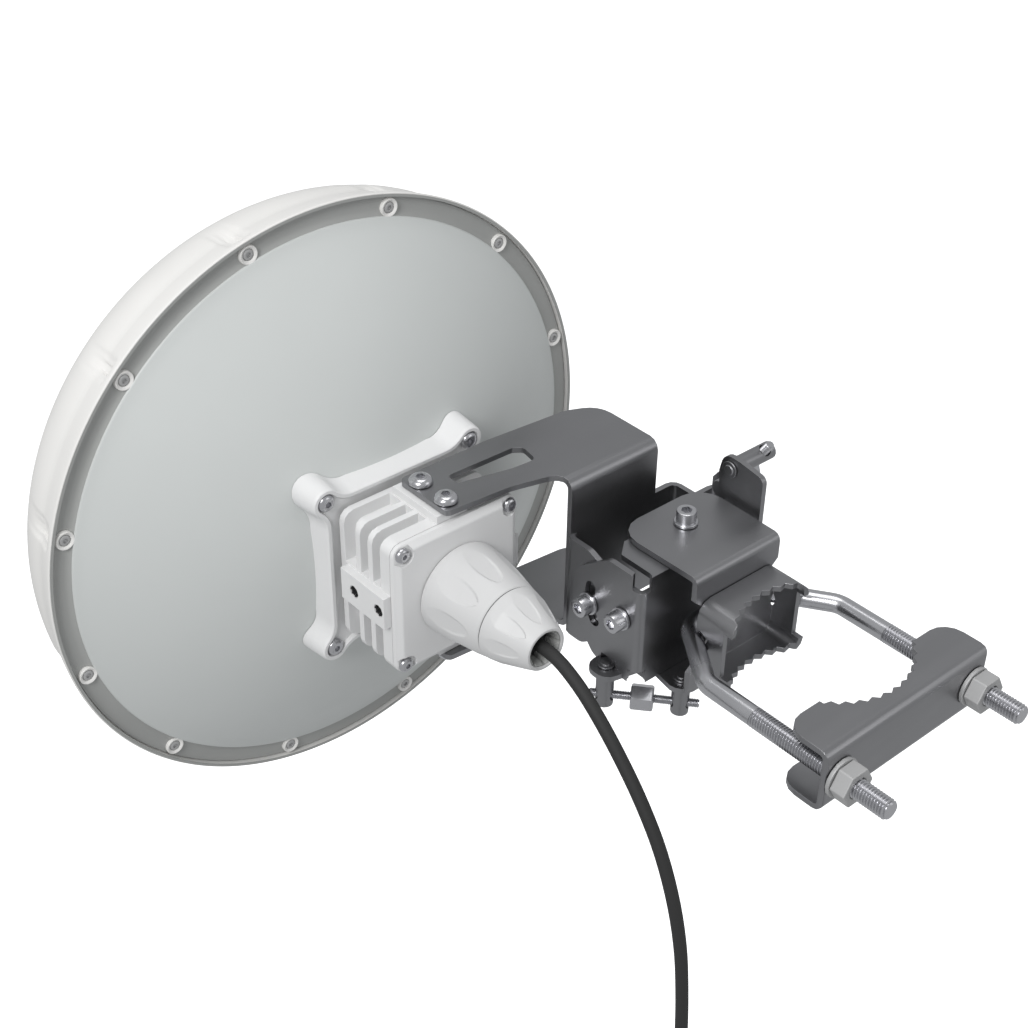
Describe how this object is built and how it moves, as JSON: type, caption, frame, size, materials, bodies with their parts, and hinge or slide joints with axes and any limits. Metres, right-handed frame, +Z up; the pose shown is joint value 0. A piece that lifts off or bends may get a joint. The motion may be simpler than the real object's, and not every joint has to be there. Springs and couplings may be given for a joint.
{
  "type": "microwave dish antenna with pole bracket",
  "caption": "Round radome-covered dish with a finned radio and cable gland on a yoke, fine azimuth and elevation adjusters and a toothed pole clamp, with a hanging cable.",
  "frame": {"origin": "on the pole's axis, halfway up the clamp", "axes": "+Y the way the dish looks, square to the pole; +Z up along the pole; +X to the right when looking along +Y"},
  "size_m": [0.3274, 0.3935, 0.5663],
  "materials": {
    "radome_shell": "fine moulded, off-white",
    "dish_paint": "smooth powder coat, light grey",
    "rubber": "matt black",
    "feed": "moulded, off-white",
    "cast_paint": "fine powder coat on a casting, off-white",
    "gland_moulding": "moulded, pale grey",
    "bracket_steel": "satin stainless sheet",
    "zinc_steel": "dull plated",
    "cable_jacket": "black jacket, slight sheen",
    "plug": "clear-grey moulding",
    "bright_steel": "bright stainless"
  },
  "bodies": {
    "clamp": {"pole_bracket": "bracket_steel", "front_jaw": "bracket_steel", "u_bolt": "bright_steel", "azimuth_pivot_top": "bright_steel", "azimuth_pivot_bottom": "bright_steel"},
    "rear_jaw": {"rear_jaw": "bracket_steel", "clamp_washer_left": "zinc_steel", "clamp_washer_right": "zinc_steel"},
    "nut_left": {"clamp_nut_left": "zinc_steel"},
    "nut_right": {"clamp_nut_right": "zinc_steel"},
    "swivel": {"elevation_bracket": "bracket_steel", "elevation_pivot_left": "bright_steel", "elevation_pivot_right": "bright_steel"},
    "azimuth_post_fixed": {"azimuth_post_fixed": "bracket_steel"},
    "azimuth_post_moving": {"azimuth_post_moving": "bracket_steel"},
    "azimuth_screw": {"azimuth_screw": "bright_steel"},
    "elevation_post_upper": {"elevation_post_upper": "bracket_steel"},
    "elevation_post_lower": {"elevation_post_lower": "bracket_steel"},
    "elevation_screw": {"elevation_screw": "bright_steel"},
    "gland_body": {"gland_body": "gland_moulding"},
    "gland_cap": {"gland_cap": "gland_moulding"},
    "dish": {"adapter_plate": "cast_paint", "adapter_screw_1": "bright_steel", "adapter_screw_2": "bright_steel", "adapter_screw_3": "bright_steel", "adapter_screw_4": "bright_steel", "arm_bolt_bottom_1": "bright_steel", "arm_bolt_bottom_2": "bright_steel", "arm_bolt_top_1": "bright_steel", "arm_bolt_top_2": "bright_steel", "cable": "cable_jacket", "cable_coil": "cable_jacket", "cable_plug": "plug", "cable_tail": "cable_jacket", "cover_screw_1": "bright_steel", "cover_screw_2": "bright_steel", "cover_screw_3": "bright_steel", "cover_screw_4": "bright_steel", "elevation_lock_left": "bright_steel", "elevation_lock_right": "bright_steel", "feed": "feed", "gland_seal": "rubber", "radio_housing": "cast_paint", "radome": "radome_shell", "radome_screw_01": "bright_steel", "radome_screw_02": "bright_steel", "radome_screw_03": "bright_steel", "radome_screw_04": "bright_steel", "radome_screw_05": "bright_steel", "radome_screw_06": "bright_steel", "radome_screw_07": "bright_steel", "radome_screw_08": "bright_steel", "radome_screw_09": "bright_steel", "radome_screw_10": "bright_steel", "radome_screw_11": "bright_steel", "radome_screw_12": "bright_steel", "rear_cover": "cast_paint", "reflector": "dish_paint", "reflector_gasket": "rubber", "yoke": "bracket_steel"}
  },
  "joints": [
    {"name": "azimuth", "type": "hinge", "parent": "clamp", "child": "swivel", "pos_m": [0, 0.0905, 0], "axis": [0, 0, 1], "range_deg": [-8, 8]},
    {"name": "elevation", "type": "hinge", "parent": "swivel", "child": "dish", "pos_m": [-0.005, 0.0845, 0.004], "axis": [1, 0, 0], "range_deg": [-15, 15]},
    {"name": "azimuth_post_fixed_turn", "type": "hinge", "parent": "clamp", "child": "azimuth_post_fixed", "pos_m": [-0.0235, 0.0635, -0.0475], "axis": [0, 0, 1], "range_deg": [-8, 8]},
    {"name": "azimuth_post_moving_turn", "type": "hinge", "parent": "swivel", "child": "azimuth_post_moving", "pos_m": [-0.048, 0.092, -0.0475], "axis": [0, 0, 1], "range_deg": [-8, 8]},
    {"name": "azimuth_screw_travel", "type": "slide", "parent": "azimuth_post_fixed", "child": "azimuth_screw", "axis": [-0.6519, 0.7583, 0], "range_m": [-0.003, 0.003]},
    {"name": "elevation_post_upper_turn", "type": "hinge", "parent": "swivel", "child": "elevation_post_upper", "pos_m": [0.055, 0.0935, 0.0513], "axis": [1, 0, 0], "range_deg": [-3, 3]},
    {"name": "elevation_post_lower_turn", "type": "hinge", "parent": "dish", "child": "elevation_post_lower", "pos_m": [0.055, 0.1135, 0.0225], "axis": [1, 0, 0], "range_deg": [-16, 16]},
    {"name": "elevation_screw_travel", "type": "slide", "parent": "elevation_post_upper", "child": "elevation_screw", "axis": [0, 0.556, -0.8312], "range_m": [-0.005, 0.005]},
    {"name": "rear_jaw_slide", "type": "slide", "parent": "clamp", "child": "rear_jaw", "axis": [0, -1, 0], "range_m": [0, 0.015]},
    {"name": "nut_left_spin", "type": "hinge", "parent": "rear_jaw", "child": "nut_left", "pos_m": [-0.0465, -0.0576, 0], "axis": [0, -1, 0], "continuous": true},
    {"name": "nut_right_spin", "type": "hinge", "parent": "rear_jaw", "child": "nut_right", "pos_m": [0.0465, -0.0576, 0], "axis": [0, -1, 0], "continuous": true},
    {"name": "gland_body_spin", "type": "hinge", "parent": "dish", "child": "gland_body", "pos_m": [-0.0975, 0.126, 0.013], "axis": [0, -1, 0], "continuous": true},
    {"name": "gland_cap_spin", "type": "hinge", "parent": "gland_body", "child": "gland_cap", "pos_m": [-0.0975, 0.095, 0.013], "axis": [0, -1, 0], "continuous": true}
  ],
  "couplings": [
    {"joint": "azimuth_post_fixed_turn", "follows": "azimuth", "ratio": 0.8671},
    {"joint": "azimuth_post_moving_turn", "follows": "azimuth", "ratio": -0.1329},
    {"joint": "azimuth_screw_travel", "follows": "azimuth", "m_per_rad": -0.01769},
    {"joint": "elevation_post_upper_turn", "follows": "elevation", "ratio": 0.0179},
    {"joint": "elevation_post_lower_turn", "follows": "elevation", "ratio": -0.9821},
    {"joint": "elevation_screw_travel", "follows": "elevation", "m_per_rad": -0.01707}
  ]
}
